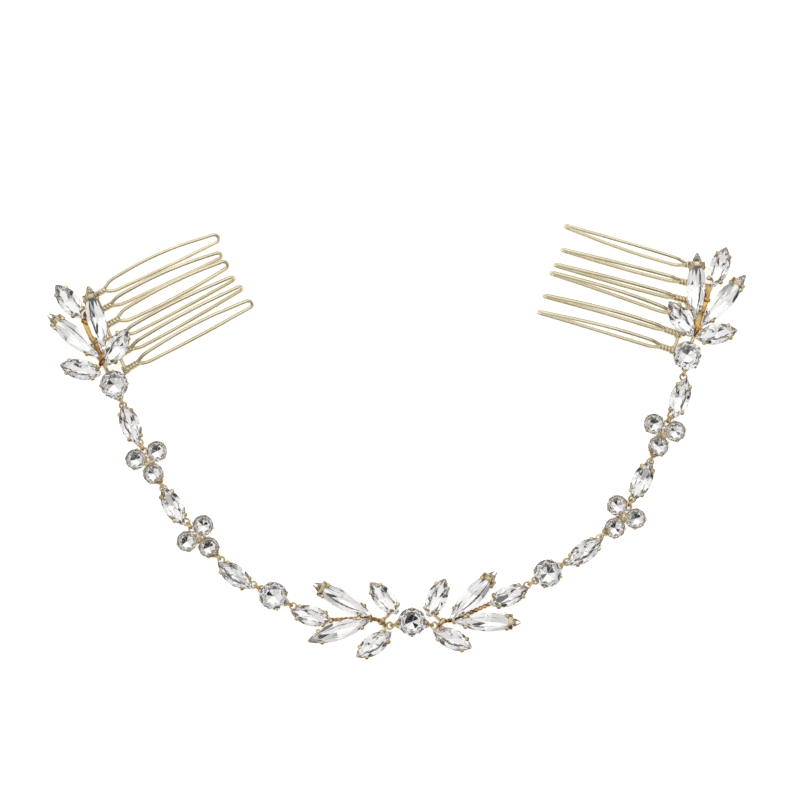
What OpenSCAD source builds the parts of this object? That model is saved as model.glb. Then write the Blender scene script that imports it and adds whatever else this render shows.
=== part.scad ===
// Bridal hair vine: clear cut stones in claw settings, strung on small rings between two wire combs.
// Sizes are in millimetres. The piece lies on a flat surface, which is the plane z = 0.
// The origin is the middle of the base of the centre stone's setting. X runs along the vine,
// from the left comb to the right one, Y runs towards the combs, and Z is up.

/* [Stones] */
// length of a pointed-oval stone
navette_l = 9.6; // [8:0.1:11]
// width of a pointed-oval stone
navette_w = 4.5; // [4:0.1:5.5]
// length of a long pointed stone
long_l = 15.4; // [13:0.1:17]
// width of a long pointed stone
long_w = 4.1; // [3.5:0.1:5]
// diameter of a large round stone
large_d = 6.2; // [5:0.1:7]
// diameter of a small round stone
small_d = 4.3; // [3.5:0.1:4.4]
// distance from the middle of a trefoil to the middle of each of its stones
trefoil_r = 2.89; // [2.8:0.01:3.1]

/* [Settings] */
// thickness of the wall of a stone's cup
wall = 0.25; // [0.2:0.01:0.35]
// thickness of the floor of a stone's cup
cup_floor = 0.3; // [0.2:0.01:0.35]
// how far the cup's wall stands in from the widest line of its stone
inset = 0.35; // [0.3:0.01:0.45]
// thickness of a claw
claw_t = 0.28; // [0.2:0.01:0.35]
// width of a claw
claw_w = 0.8; // [0.6:0.05:1]
// space left between a stone and the metal that holds it
play = 0.07; // [0.05:0.01:0.1]

/* [Rings] */
// mean radius of the loop at each end of a setting
loop_r = 0.72; // [0.7:0.01:0.8]
// mean radius of a ring that joins two settings
ring_r = 0.78; // [0.76:0.01:0.85]
// radius of the wire that the loops and rings are bent from
ring_wire = 0.2; // [0.15:0.01:0.22]
// height of a loop above the base of its setting
loop_z = 0.99; // [0.98:0.01:1.1]
// distance from the middle of a ring to the middle of the loop on each side
reach = 1.02; // [1:0.01:1.05]

/* [Combs] */
// radius of the wire of a comb's teeth
tooth_wire = 0.43; // [0.35:0.01:0.5]
// distance between the two legs of a tooth where it is widest
tooth_w = 3.4; // [3:0.05:3.5]
// distance between the two legs of a tooth beside its rounded end
tooth_end_w = 1.9; // [1.7:0.05:2.2]
// length of the twisted neck between a tooth and the back wire
neck_l = 3.4; // [2.5:0.1:4]
// radius of the twisted neck
neck_r = 0.75; // [0.7:0.01:0.8]
// height that the teeth bow up between the back wire and their ends
bow = 0.9; // [0:0.1:1.5]

/* [Hidden] */

gold = "#d9b566";
crystal = "#e8ebf2";

// The four kinds of stone
NAVETTE = 0;
LONG = 1;
LARGE = 2;
SMALL = 3;
// length, width, height of the lower girdle edge, girdle thickness, crown height
GEMS = [
    [navette_l, navette_w, 2.1, 0.22, 0.9],
    [long_l, long_w, 2.0, 0.22, 0.8],
    [large_d, large_d, 2.35, 0.25, 1.05],
    [small_d, small_d, 1.75, 0.2, 0.75]
];
culet_z = 0.4;
// Each ring of corners as shares of the girdle's length and width
table_share = [0.62, 0.52];
round_table_share = [0.56, 0.56];
star_share = 0.8;
star_drop = 0.407;
keel_share = [0.35, 0.15];
round_keel_share = [0.15, 0.15];

function gem_l(k) = GEMS[k][0];
function gem_w(k) = GEMS[k][1];
function girdle_z(k) = GEMS[k][2];
function girdle_top(k) = GEMS[k][2] + GEMS[k][3];
function crown_h(k) = GEMS[k][4];
function is_round(k) = gem_l(k) == gem_w(k);

// The outline of a stone is two arcs of one radius, whose centres lie arc_c to each side of its axis
function arc_r(k) = (pow(gem_l(k), 2) + pow(gem_w(k), 2)) / (4 * gem_w(k));
function arc_c(k) = arc_r(k) - gem_w(k) / 2;
function arc_y(k, x) = sqrt(max(0, pow(arc_r(k), 2) - x * x)) - arc_c(k);
function outline_point(k, a) =
    let (x = gem_l(k) / 2 * cos(a), y = arc_y(k, x))
    [x, sin(a) < -0.001 ? -y : sin(a) > 0.001 ? y : 0];
function corner_ring(k, n, start, share, z) =
    [for (i = [0 : n - 1]) let (p = outline_point(k, (i + start) * 360 / n)) [p[0] * share[0], p[1] * share[1], z]];

// Height of the cup's rim, where its inner edge just clears the lower half of the stone
function lower_slope(k) = (girdle_z(k) - culet_z) / ((1 - keel_share[1]) * gem_w(k) / 2);
function rim_z(k) = girdle_z(k) - (inset + wall) * lower_slope(k) - 0.12;

// A piece in its place: kind, x, y, z, heading, pitch (front end up), roll, turn of the claws, band (1) or claws (0)
function kind(e) = e[0];
function lift(k, pitch, roll) =
    (gem_l(k) / 2 - inset) * abs(sin(pitch)) + (gem_w(k) / 2 - inset) * abs(sin(roll));
function on_base(k, x, y, base, heading, pitch, roll, turn = 45, band = 0) =
    [k, x, y, base + lift(k, pitch, roll), heading, pitch, roll, turn, band];
function turned_x(v, a) = [v[0], v[1] * cos(a) - v[2] * sin(a), v[1] * sin(a) + v[2] * cos(a)];
function turned_y(v, a) = [v[0] * cos(a) + v[2] * sin(a), v[1], v[2] * cos(a) - v[0] * sin(a)];
function turned_z(v, a) = [v[0] * cos(a) - v[1] * sin(a), v[0] * sin(a) + v[1] * cos(a), v[2]];
function placed(e, v) = [e[1], e[2], e[3]] + turned_z(turned_y(turned_x(v, e[6]), -e[5]), e[4]);

// Heights that the two comb sprigs stand at, on top of the back wires
left_comb_base = 2.05;
right_comb_base = 2.38;

centre_round = on_base(LARGE, 0, 0, 0, 0, 0, 0);
left_comb_round = on_base(LARGE, -65.55, 52.34, 0.75, 112, 3, 0, 73);
right_comb_round = [LARGE, 60.56, 59.06, 2.65, 80.5, 12, 0, 45, 0];

// The sprigs. Each row: kind, x, y, heading, pitch, roll, band or claws at the outer end
left_sprig_rows = [
    [NAVETTE, -6.3, 5.32, 131.9, 5, 2, 0],
    [LONG, -15.49, 5.15, 151.7, 3, -3, 1],
    [NAVETTE, -22.32, 1.29, 166, 2, 3, 0],
    [LONG, -16.1, -2.05, 199.3, 2, 4, 0],
    [NAVETTE, -8.59, -4.95, 215, 4, -3, 0]
];
right_sprig_rows = [
    [NAVETTE, 5.59, 5.35, 65.6, 3, -3, 0],
    [LONG, 13.53, 6.1, 46, 3, 3, 1],
    [NAVETTE, 21.55, 5.8, 23, 6, -2, 0],
    [LONG, 16.83, -0.13, -0.6, 2, -3, 1],
    [NAVETTE, 9.12, -3.75, -23.9, 5, 3, 0]
];
left_comb_rows = [
    [NAVETTE, -64.45, 60.74, 60, 10, -3, 0],
    [LONG, -69.29, 66.99, 103.7, 3, -4, 1],
    [NAVETTE, -75.53, 70.62, 128.9, 8, 3, 0],
    [LONG, -74.67, 62.99, 139.4, 4, 4, 1],
    [NAVETTE, -72.94, 55.73, 167.6, 6, -3, 0]
];
right_comb_rows = [
    [NAVETTE, 58.78, 66.73, 123.9, 7, 3, 0],
    [LONG, 62.24, 73.92, 88.2, 2, 4, 1],
    [NAVETTE, 67.66, 78.29, 70.9, 10, -3, 0],
    [LONG, 68.64, 70.82, 49.5, 6, -3, 1],
    [NAVETTE, 66.98, 63.47, 10.5, 5, 3, 0]
];
function sprig(rows, base) =
    [for (r = rows) on_base(r[0], r[1], r[2], base, r[3], r[4], r[5], 45, r[6])];
left_sprig = sprig(left_sprig_rows, 0);
right_sprig = sprig(right_sprig_rows, 0);
left_comb_sprig = sprig(left_comb_rows, left_comb_base);
right_comb_sprig = sprig(right_comb_rows, right_comb_base);

// The pieces of each string, from the centre outwards
left_string = [
    left_sprig[2],
    on_base(LARGE, -30.56, 5.74, 0, 151, 2, 0),
    on_base(NAVETTE, -38.86, 10.4, 0, 143.4, 1, -3),
    on_base(SMALL, -46.75, 18.45, 0, 135, 0, 0),
    on_base(NAVETTE, -52.64, 25.39, 0, 119.6, -1, 3),
    on_base(SMALL, -57.98, 35.31, 0, 111, 0, 0, 52),
    on_base(NAVETTE, -61.93, 43.53, 0, 111.1, 3, -2),
    left_comb_round
];
right_string = [
    right_sprig[2],
    on_base(LARGE, 29.77, 10.61, 0, 31, -2, 0),
    on_base(NAVETTE, 37.9, 15.57, 0, 36.9, 1, 3),
    on_base(SMALL, 46.37, 23, 0, 54, 0, 0, 32),
    on_base(NAVETTE, 50.66, 31.05, 0, 65.1, -1, -3),
    on_base(SMALL, 55.16, 41.38, 0, 71, 0, 0, 40),
    on_base(NAVETTE, 58.98, 49.67, 0, 73.5, 10, 2),
    right_comb_round
];

// How far the loops stand from the middle of each piece, inwards and outwards, in the order of a string
REACH_IN = [4.45, 2.95, 4.45, 4.7, 4.45, 4.7, 4.45, 2.95];
REACH_OUT = [4.45, 2.95, 4.45, 2.55, 4.45, 2.55, 4.45, 2.95];
// How far each ring leans out of the upright, from the centre outwards, mirrored between the two sides
LEAN = [20, -15, 25, -20, 15, 25, 20, -10];

// A joint is the middle of a ring and the direction that the string takes through it
function joint(s, i) =
    let (
        p = placed(s[i], [0, 0, loop_z]),
        q = placed(s[i + 1], [0, 0, loop_z]),
        d = norm(q - p),
        slack = d - REACH_OUT[i] - REACH_IN[i + 1] - 2 * reach,
        u = (q - p) / d
    )
    [p + u * (REACH_OUT[i] + reach + slack / 2), u];

// The joints between the centre stone and its two sprigs
function centre_joint(a) = [[3.97 * cos(a), 3.97 * sin(a), loop_z], [cos(a), sin(a), 0]];
left_centre_joint = centre_joint(190);
right_centre_joint = centre_joint(-10);

// The stems of the sprigs, as points that the wire runs through
stem_z = 0.5;
left_stem = [[-5.72, -1.01, loop_z], [-6.6, 0.1, stem_z], [-9.2, 0.8, stem_z], [-18.4, 0.35, stem_z]];
right_stem = [[5.72, -1.01, loop_z], [6.6, 0, stem_z], [9.2, 0.4, stem_z], [12, 1.6, stem_z], [17.8, 4.2, stem_z]];
left_comb_stem = [
    [-66.6, 54.2, 1.6],
    [-68.1, 57.2, left_comb_base + 0.6],
    [-69.7, 61.5, left_comb_base + 0.85],
    [-71.3, 66.6, left_comb_base + 0.85],
    [-72.1, 70.2, left_comb_base + 0.85]
];
right_comb_stem = [
    [61.3, 61, right_comb_base + 0.75],
    [62.4, 63.9, right_comb_base + 0.6],
    [63.2, 67, right_comb_base + 0.85],
    [64.6, 71, right_comb_base + 0.85],
    [65.2, 74.4, right_comb_base + 0.85]
];
stem_r = 0.4;
thick_stem_r = 0.62;
spoke_r = 0.35;
// Which point of the stem each stone's spoke runs to, in the order of the rows
SPRIG_SPOKES = [1, 2, 3, 2, 1];
COMB_SPOKES = [1, 1, 3, 1, 1];

// The combs: where the back wire starts, the step from tooth to tooth, and its height
left_back = [-70.4, 71.6];
left_step = [1.474, -3.232];
left_back_z = 1.12;
right_back = [63.14, 77.88];
right_step = [-1.1, -3.63];
right_back_z = 1.45;
back_wire = 0.45;
wrap_r = 0.88;
wrap_l = 1.7;
// Each row: heading of the tooth, its length, the turn of its legs about its own axis at the neck and at the
// rounded end, and how far its middle bows sideways
left_teeth = [
    [25.3, 31.1, 15, 20, 0.6],
    [24.9, 30.1, 42, 48, 0.5],
    [27.2, 30.5, 5, 30, 0.15],
    [27.3, 30.6, 48, 64, 0.2],
    [28.9, 31.4, 50, 62, 0.15],
    [28.1, 31.9, 45, 30, 0.4]
];
right_teeth = [
    [162.5, 31.2, -50, -75, 0.25],
    [165.2, 30.4, -66, -82, 0.1],
    [164.8, 30.9, -68, -80, 0],
    [161.5, 31.2, -62, -80, -0.4],
    [164.2, 31.2, -68, -80, -0.45],
    [164.2, 31.4, -54, -80, -0.35]
];
// The shape of a tooth: distances beyond its neck, and the space between its legs there as a share of the widest
TOOTH_SHAPE = [[-0.6, 0.18], [1.6, 0.7], [5, 0.87], [11.5, 1], [19, 0.9]];
// How far the teeth's rounded ends stay above the surface that the piece lies on
end_gap = 0.02;

// Stones
module gem(k) {
    t = is_round(k) ? round_table_share : table_share;
    b = is_round(k) ? round_keel_share : keel_share;
    top = girdle_top(k) + crown_h(k);
    points = concat(
        corner_ring(k, 8, 0, t, top),
        corner_ring(k, 8, 0.5, [star_share, star_share], top - star_drop * crown_h(k)),
        corner_ring(k, 16, 0, [1, 1], girdle_top(k)),
        corner_ring(k, 16, 0, [1, 1], girdle_z(k)),
        corner_ring(k, 8, 0, b, culet_z)
    );
    star = 8;
    upper = 16;
    lower = 32;
    keel = 48;
    faces = concat(
        [[for (i = [7 : -1 : 0]) i]],
        [for (i = [0 : 7]) [i, (i + 1) % 8, star + i]],
        [for (i = [0 : 7]) [i, star + i, upper + 2 * i]],
        [for (i = [0 : 7]) [i, upper + 2 * i, star + (i + 7) % 8]],
        [for (i = [0 : 7]) [star + i, upper + 2 * i + 1, upper + 2 * i]],
        [for (i = [0 : 7]) [star + i, upper + (2 * i + 2) % 16, upper + 2 * i + 1]],
        [for (i = [0 : 15]) [upper + i, upper + (i + 1) % 16, lower + (i + 1) % 16, lower + i]],
        [for (i = [0 : 7]) [lower + 2 * i, lower + 2 * i + 1, keel + i]],
        [for (i = [0 : 7]) [lower + 2 * i + 1, keel + (i + 1) % 8, keel + i]],
        [for (i = [0 : 7]) [lower + 2 * i + 1, lower + (2 * i + 2) % 16, keel + (i + 1) % 8]],
        [[for (i = [0 : 7]) keel + i]]
    );
    polyhedron(points = points, faces = faces);
}

module place(e) {
    translate([e[1], e[2], e[3]]) rotate([e[6], -e[5], e[4]]) children();
}

module stone(e) {
    color(crystal) place(e) gem(kind(e));
}

// Cups. The outline of a stone drawn in by a distance, as a prism between two heights
module oval_prism(k, drawn_in, z0, z1) {
    r = arc_r(k) - drawn_in;
    if (is_round(k)) {
        translate([0, 0, z0]) cylinder(h = z1 - z0, r = r, $fn = 64);
    } else {
        intersection() {
            translate([0, -arc_c(k), z0]) cylinder(h = z1 - z0, r = r, $fn = 128);
            translate([0, arc_c(k), z0]) cylinder(h = z1 - z0, r = r, $fn = 128);
        }
    }
}

// A long stone's tip stands free, so its cup stops short of it, and the wall there is low enough to clear the stone
long_cup_end = 5;
long_end_z = 0.92;
module cup_end(k) {
    if (k == LONG) {
        translate([long_cup_end - 15, -5, -1]) cube([15, 10, 6]);
    }
}

module cup_body(k) {
    if (k == LONG) {
        intersection() {
            oval_prism(k, inset, 0, rim_z(k));
            cup_end(k);
        }
    } else {
        oval_prism(k, inset, 0, rim_z(k));
    }
}

module cup_hollow(k) {
    if (k == LONG) {
        intersection() {
            oval_prism(k, inset + wall, cup_floor, girdle_z(k));
            translate([long_cup_end - wall - 15, -5, -1]) cube([15, 10, 6]);
        }
        translate([long_cup_end - 2 * wall, -5, long_end_z]) cube([2, 10, 3]);
    } else {
        oval_prism(k, inset + wall, cup_floor, girdle_z(k));
    }
}

// A claw's side view: out from the wall of the cup, up past the girdle and over onto the crown
foot_z = 0.5;
claw_lap = 0.35;
module claw_profile(k) {
    top = girdle_top(k);
    star_u = -(1 - star_share) * gem_w(k) / 2;
    star_z = top + (1 - star_drop) * crown_h(k) + 1.4 * play;
    out = play + claw_t;
    polygon([
        [-inset - 0.1, foot_z],
        [-inset + 0.15, foot_z],
        [out, girdle_z(k) - 0.45],
        [out, top + 0.12],
        [star_u + 0.12, star_z + claw_t * 1.05],
        [star_u - claw_lap, star_z + claw_lap * 0.62 + claw_t],
        [star_u - claw_lap, star_z + claw_lap * 0.62],
        [star_u, star_z],
        [play, top + 0.04],
        [play, girdle_z(k) - 0.1],
        [-inset - 0.1, rim_z(k) - 0.06]
    ]);
}

module claw(k) {
    rotate([90, 0, 90]) translate([0, 0, -claw_w / 2]) linear_extrude(height = claw_w) claw_profile(k);
}

// A claw beside the point of the outline at x, on the side of y's sign
module side_claw(k, x, side) {
    mirror([0, side < 0 ? 1 : 0, 0]) translate([0, -arc_c(k), 0]) rotate([0, 0, -asin(x / arc_r(k))])
        translate([0, arc_r(k), 0]) claw(k);
}

// The band over the outer end of a long stone, seen along the stone
band_x = 4.5;
band_l = 0.8;
band_in = 1.47;
band_out = 1.77;
module band() {
    rotate([90, 0, 90]) translate([0, 0, band_x]) linear_extrude(height = band_l) difference() {
        polygon([
            [-band_out, 0.15], [band_out, 0.15], [band_out, 2.4], [0.95, 3.25], [0.35, 3.42],
            [-0.35, 3.42], [-0.95, 3.25], [-band_out, 2.4]
        ]);
        polygon([
            [-band_in, 0.8], [band_in, 0.8], [band_in, 2.33], [0.85, 2.98], [0.3, 3.12],
            [-0.3, 3.12], [-0.85, 2.98], [-band_in, 2.33]
        ]);
    }
}

navette_claw_x = 3;
long_claw_x = 5;
module claws(e) {
    k = kind(e);
    if (is_round(k)) {
        for (i = [0 : 3]) {
            rotate([0, 0, e[7] + 90 * i]) translate([0, gem_w(k) / 2, 0]) claw(k);
        }
    } else {
        x = k == LONG ? long_claw_x : navette_claw_x;
        for (side = [-1, 1]) {
            side_claw(k, -x, side);
            if (e[8] == 0) {
                side_claw(k, k == LONG ? x - 0.6 : x, side);
            }
        }
        if (e[8] == 1) {
            band();
        }
    }
}

// Cups soldered together with their stems and loops, hollowed, with their claws
module soldered(cups) {
    difference() {
        union() {
            for (e = cups) {
                place(e) cup_body(kind(e));
            }
            children();
        }
        for (e = cups) {
            place(e) cup_hollow(kind(e));
        }
    }
    for (e = cups) {
        place(e) claws(e);
    }
}

// Wires
module rod(p, q, r) {
    d = q - p;
    translate(p) rotate([0, acos(d[2] / norm(d)), atan2(d[1], d[0])]) cylinder(h = norm(d), r = r, $fn = 32);
}

// The bends of a wire are slight, and each is closed by a short collar in the mean direction of its two lengths
collar_half = 0.3;
collar_gap = 0.1;
module wire_path(points, r) {
    last = len(points) - 1;
    u = [for (i = [0 : last - 1]) (points[i + 1] - points[i]) / norm(points[i + 1] - points[i])];
    for (i = [0 : last - 1]) {
        rod(points[i] + u[i] * (i == 0 ? 0 : collar_gap), points[i + 1] - u[i] * collar_gap, r);
    }
    for (i = [1 : last]) {
        mean = i == last ? u[i - 1] : (u[i - 1] + u[i]) / norm(u[i - 1] + u[i]);
        rod(points[i] - mean * collar_half, points[i] + mean * collar_half, r + (i == 1 || i == last ? 0.08 : 0.03));
    }
}

module torus(mean, wire) {
    rotate_extrude($fn = 48) translate([mean, 0]) circle(r = wire, $fn = 24);
}

module along(p, u) {
    translate(p) rotate([0, -asin(u[2]), atan2(u[1], u[0])]) children();
}

// A flat loop on the side of a joint towards piece p, with the bar that holds it
bar_r = 0.3;
module loop(j, side, bar) {
    along(j[0] + side * reach * j[1], side * j[1]) {
        torus(loop_r, ring_wire);
        translate([loop_r, 0, 0]) rotate([0, 90, 0]) cylinder(h = bar, r = bar_r, $fn = 24);
    }
}

module ring(j, lean) {
    along(j[0], j[1]) rotate([90 + lean, 0, 0]) torus(ring_r, ring_wire);
}

// String pieces
long_bar = 1.3;
module string_setting(s, i) {
    color(gold) soldered([s[i]]) {
        loop(joint(s, i - 1), 1, long_bar);
        loop(joint(s, i), -1, long_bar);
    }
}

// A trefoil: one stone towards the centre of the vine, its claws to each side of the loop, and two towards the comb
function trefoil(e) = [
    for (a = [180, 60, -60])
        let (p = placed(e, [trefoil_r * cos(a), trefoil_r * sin(a), 0]))
        [SMALL, p[0], p[1], p[2], e[4] + a, 0, 0, a == 180 ? e[7] : 0, 0]
];
hub_r = 1.9;
hub_h = 0.9;
module trefoil_setting(s, i) {
    color(gold) soldered(trefoil(s[i])) {
        place(s[i]) cylinder(h = hub_h, r = hub_r, $fn = 48);
        loop(joint(s, i - 1), 1, 0.7);
        loop(joint(s, i), -1, long_bar);
    }
}

module trefoil_stones(e) {
    for (g = trefoil(e)) {
        stone(g);
    }
}

// Sprigs
function inner_end(k) = k == LONG ? -6.3 : -3.5;
module spokes(cups, stem, ends) {
    for (i = [0 : len(cups) - 1]) {
        p = placed(cups[i], [inner_end(kind(cups[i])), 0, stem_z]);
        rod(p, stem[ends[i]], spoke_r);
    }
}

module centre_sprig(cups, stem, s, centre) {
    color(gold) soldered(cups) {
        wire_path(stem, stem_r);
        spokes(cups, stem, SPRIG_SPOKES);
        loop(joint(s, 0), -1, long_bar);
        loop(centre, 1, 0.2);
    }
}

module comb_sprig(cups, comb_round, stem, s) {
    color(gold) soldered(concat(cups, [comb_round])) {
        wire_path([placed(comb_round, [0, 0, stem_z]), stem[0], stem[1]], stem_r);
        wire_path([for (i = [1 : len(stem) - 1]) stem[i]], thick_stem_r);
        spokes(cups, stem, COMB_SPOKES);
        loop(joint(s, len(s) - 2), 1, long_bar);
    }
}

// Combs. A tooth is one wire bent double, its ends twisted together and bound to the back wire
function tooth_end_x(row) = row[1] - tooth_end_w / 2 - tooth_wire;
function tooth_turn(x, row) = row[2] + (row[3] - row[2]) * x / row[1];
function tooth_mid(x, row, back_z) =
    let (
        end_z = tooth_end_w / 2 * abs(sin(row[3])) + tooth_wire + end_gap,
        arch = sin(180 * x / row[1])
    )
    [x, row[4] * arch, (end_z - back_z) * x / row[1] + bow * arch];
function leg_point(x, half, row, back_z) =
    tooth_mid(x, row, back_z) + half * [0, cos(tooth_turn(x, row)), sin(tooth_turn(x, row))];
module tooth(row, back_z) {
    end_x = tooth_end_x(row);
    for (side = [-1, 1]) {
        legs = [for (s = TOOTH_SHAPE) leg_point(neck_l + s[0], side * s[1] * tooth_w / 2, row, back_z)];
        wire_path(concat(legs, [leg_point(end_x, side * tooth_end_w / 2, row, back_z)]), tooth_wire);
    }
    translate(tooth_mid(end_x, row, back_z)) rotate([tooth_turn(end_x, row), 0, 0])
        rotate([0, 0, -90]) rotate_extrude(angle = 180, $fn = 64) translate([tooth_end_w / 2, 0])
        circle(r = tooth_wire, $fn = 32);
    rod([0, 0, 0], tooth_mid(neck_l, row, back_z), neck_r);
}

module comb(teeth, back, step, back_z) {
    last = len(teeth) - 1;
    ends = [for (t = [-0.25, last + 0.25]) [back[0] + step[0] * t, back[1] + step[1] * t, back_z]];
    u = (ends[1] - ends[0]) / norm(ends[1] - ends[0]);
    rod(ends[0], ends[1], back_wire);
    for (i = [0 : last]) {
        p = [back[0] + step[0] * i, back[1] + step[1] * i, back_z];
        rod(p - u * wrap_l / 2, p + u * wrap_l / 2, wrap_r);
        translate(p) rotate([0, 0, teeth[i][0]]) tooth(teeth[i], back_z);
    }
}

module link_set(s, centre, side) {
    color(gold) {
        ring(centre, side * LEAN[len(s) - 1]);
        for (i = [0 : len(s) - 2]) {
            ring(joint(s, i), side * LEAN[i]);
        }
    }
}

module setting_centre() {
    color(gold) soldered([centre_round]) {
        loop(left_centre_joint, -1, long_bar);
        loop(right_centre_joint, -1, long_bar);
    }
}

module comb_left() {
    color(gold) comb(left_teeth, left_back, left_step, left_back_z);
}

module comb_right() {
    color(gold) comb(right_teeth, right_back, right_step, right_back_z);
}

stone(centre_round);  // stone_centre
stone(left_string[1]);  // stone_left_round
stone(right_string[1]);  // stone_right_round
stone(left_comb_round);  // stone_left_comb_round
stone(right_comb_round);  // stone_right_comb_round
stone(left_sprig[0]);  // stone_left_sprig_1
stone(left_sprig[1]);  // stone_left_sprig_2
stone(left_sprig[2]);  // stone_left_sprig_3
stone(left_sprig[3]);  // stone_left_sprig_4
stone(left_sprig[4]);  // stone_left_sprig_5
stone(right_sprig[0]);  // stone_right_sprig_1
stone(right_sprig[1]);  // stone_right_sprig_2
stone(right_sprig[2]);  // stone_right_sprig_3
stone(right_sprig[3]);  // stone_right_sprig_4
stone(right_sprig[4]);  // stone_right_sprig_5
stone(left_comb_sprig[0]);  // stone_left_comb_1
stone(left_comb_sprig[1]);  // stone_left_comb_2
stone(left_comb_sprig[2]);  // stone_left_comb_3
stone(left_comb_sprig[3]);  // stone_left_comb_4
stone(left_comb_sprig[4]);  // stone_left_comb_5
stone(right_comb_sprig[0]);  // stone_right_comb_1
stone(right_comb_sprig[1]);  // stone_right_comb_2
stone(right_comb_sprig[2]);  // stone_right_comb_3
stone(right_comb_sprig[3]);  // stone_right_comb_4
stone(right_comb_sprig[4]);  // stone_right_comb_5
stone(left_string[2]);  // stone_left_string_1
stone(left_string[4]);  // stone_left_string_2
stone(left_string[6]);  // stone_left_string_3
stone(right_string[2]);  // stone_right_string_1
stone(right_string[4]);  // stone_right_string_2
stone(right_string[6]);  // stone_right_string_3
trefoil_stones(left_string[3]);  // trefoil_stones_left_1
trefoil_stones(left_string[5]);  // trefoil_stones_left_2
trefoil_stones(right_string[3]);  // trefoil_stones_right_1
trefoil_stones(right_string[5]);  // trefoil_stones_right_2
setting_centre();
string_setting(left_string, 1);  // setting_left_round
string_setting(right_string, 1);  // setting_right_round
centre_sprig(left_sprig, left_stem, left_string, left_centre_joint);  // setting_left_sprig
centre_sprig(right_sprig, right_stem, right_string, right_centre_joint);  // setting_right_sprig
comb_sprig(left_comb_sprig, left_comb_round, left_comb_stem, left_string);  // setting_left_comb
comb_sprig(right_comb_sprig, right_comb_round, right_comb_stem, right_string);  // setting_right_comb
string_setting(left_string, 2);  // setting_left_string_1
string_setting(left_string, 4);  // setting_left_string_2
string_setting(left_string, 6);  // setting_left_string_3
string_setting(right_string, 2);  // setting_right_string_1
string_setting(right_string, 4);  // setting_right_string_2
string_setting(right_string, 6);  // setting_right_string_3
trefoil_setting(left_string, 3);  // setting_left_trefoil_1
trefoil_setting(left_string, 5);  // setting_left_trefoil_2
trefoil_setting(right_string, 3);  // setting_right_trefoil_1
trefoil_setting(right_string, 5);  // setting_right_trefoil_2
comb_left();
comb_right();
link_set(left_string, left_centre_joint, 1);  // links_left
link_set(right_string, right_centre_joint, -1);  // links_right
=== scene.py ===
# %% [markdown]
# # A bridal hair vine
# The object is a hair vine: clear cut stones in pale gold claw settings, strung on small wire rings
# between two wire hair combs. It lies flat in an open curve and is seen from straight above.
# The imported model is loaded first: every piece here is built on it.

# %% Load the frame
from math import acos, asin, atan2, cos, degrees, inf, pi, radians, sin, sqrt, tan
from collections import namedtuple
import bpy
from mathutils import Matrix, Vector


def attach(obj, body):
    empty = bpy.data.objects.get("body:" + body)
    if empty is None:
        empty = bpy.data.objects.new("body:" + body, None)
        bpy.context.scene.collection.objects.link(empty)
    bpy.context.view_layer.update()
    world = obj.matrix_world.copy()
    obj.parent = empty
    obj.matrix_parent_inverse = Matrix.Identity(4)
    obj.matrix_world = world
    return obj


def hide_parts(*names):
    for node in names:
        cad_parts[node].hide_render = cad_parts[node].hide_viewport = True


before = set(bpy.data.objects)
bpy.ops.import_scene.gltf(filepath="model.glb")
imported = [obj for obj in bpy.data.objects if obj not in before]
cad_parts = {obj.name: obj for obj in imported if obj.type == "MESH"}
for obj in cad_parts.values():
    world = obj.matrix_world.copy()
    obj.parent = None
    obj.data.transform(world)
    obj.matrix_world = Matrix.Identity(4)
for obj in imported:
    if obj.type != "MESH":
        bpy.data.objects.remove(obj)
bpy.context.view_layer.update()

# %% [markdown]
# ## Working at the bench
# The stones are a few millimetres long, and tools such as Bisect and Merge have built-in distances that would
# swallow their details. So they are modelled a thousand times their size: one unit on the bench is one
# millimetre. An operator acts on all that is selected, so the bench is cleared before a shape is begun.

# %% Bench helpers
MM = 0.001


def clear_bench():
    bpy.ops.object.select_all(action="DESELECT")


def only(*objs):
    """Selects these objects and nothing else."""
    clear_bench()
    for o in objs:
        o.select_set(True)
    bpy.context.view_layer.objects.active = objs[0]


def open_mesh(obj):
    """Goes into edit mode on one object, with all of it selected."""
    only(obj)
    bpy.ops.object.mode_set(mode="EDIT")
    bpy.ops.mesh.select_all(action="SELECT")


def close_mesh():
    bpy.ops.object.mode_set(mode="OBJECT")


def begin(name):
    """Names the primitive just added, puts its place in its mesh and opens it."""
    o = bpy.context.object
    o.name = name
    bpy.ops.object.transform_apply(location=True, rotation=True, scale=True)
    open_mesh(o)
    return o


def select_faces(obj, test):
    """In edit mode, selects the faces whose normal passes the test."""
    bpy.ops.mesh.select_all(action="DESELECT")
    bpy.ops.object.mode_set(mode="OBJECT")
    for p in obj.data.polygons:
        p.select = test(p.normal)
    bpy.ops.object.mode_set(mode="EDIT")
    bpy.ops.mesh.select_mode(type="FACE")


def faces_up(normal):
    return normal.z > 0.9


def faces_endways(normal):
    return abs(normal.x) > 0.9


def tidy(obj, angle=35):
    """Merges doubles, turns the faces outwards and shades smooth across edges flatter than the angle."""
    open_mesh(obj)
    bpy.ops.mesh.remove_doubles(threshold=0.001)
    bpy.ops.mesh.normals_make_consistent(inside=False)
    close_mesh()
    bpy.ops.object.shade_smooth_by_angle(angle=radians(angle))
    return obj


def finish_modifier(obj, kind, **values):
    """Adds a modifier, sets it up and applies it."""
    only(obj)
    mod = obj.modifiers.new(kind.lower(), kind)
    for name, value in values.items():
        setattr(mod, name, value)
    bpy.ops.object.modifier_apply(modifier=mod.name)


def soften_edges(obj, width, segments, angle):
    """Rounds the edges that are sharper than the angle."""
    finish_modifier(obj, "BEVEL", width=width, segments=segments, limit_method="ANGLE",
                    angle_limit=radians(angle))


print("one unit on the bench is", MM, "m")

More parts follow.
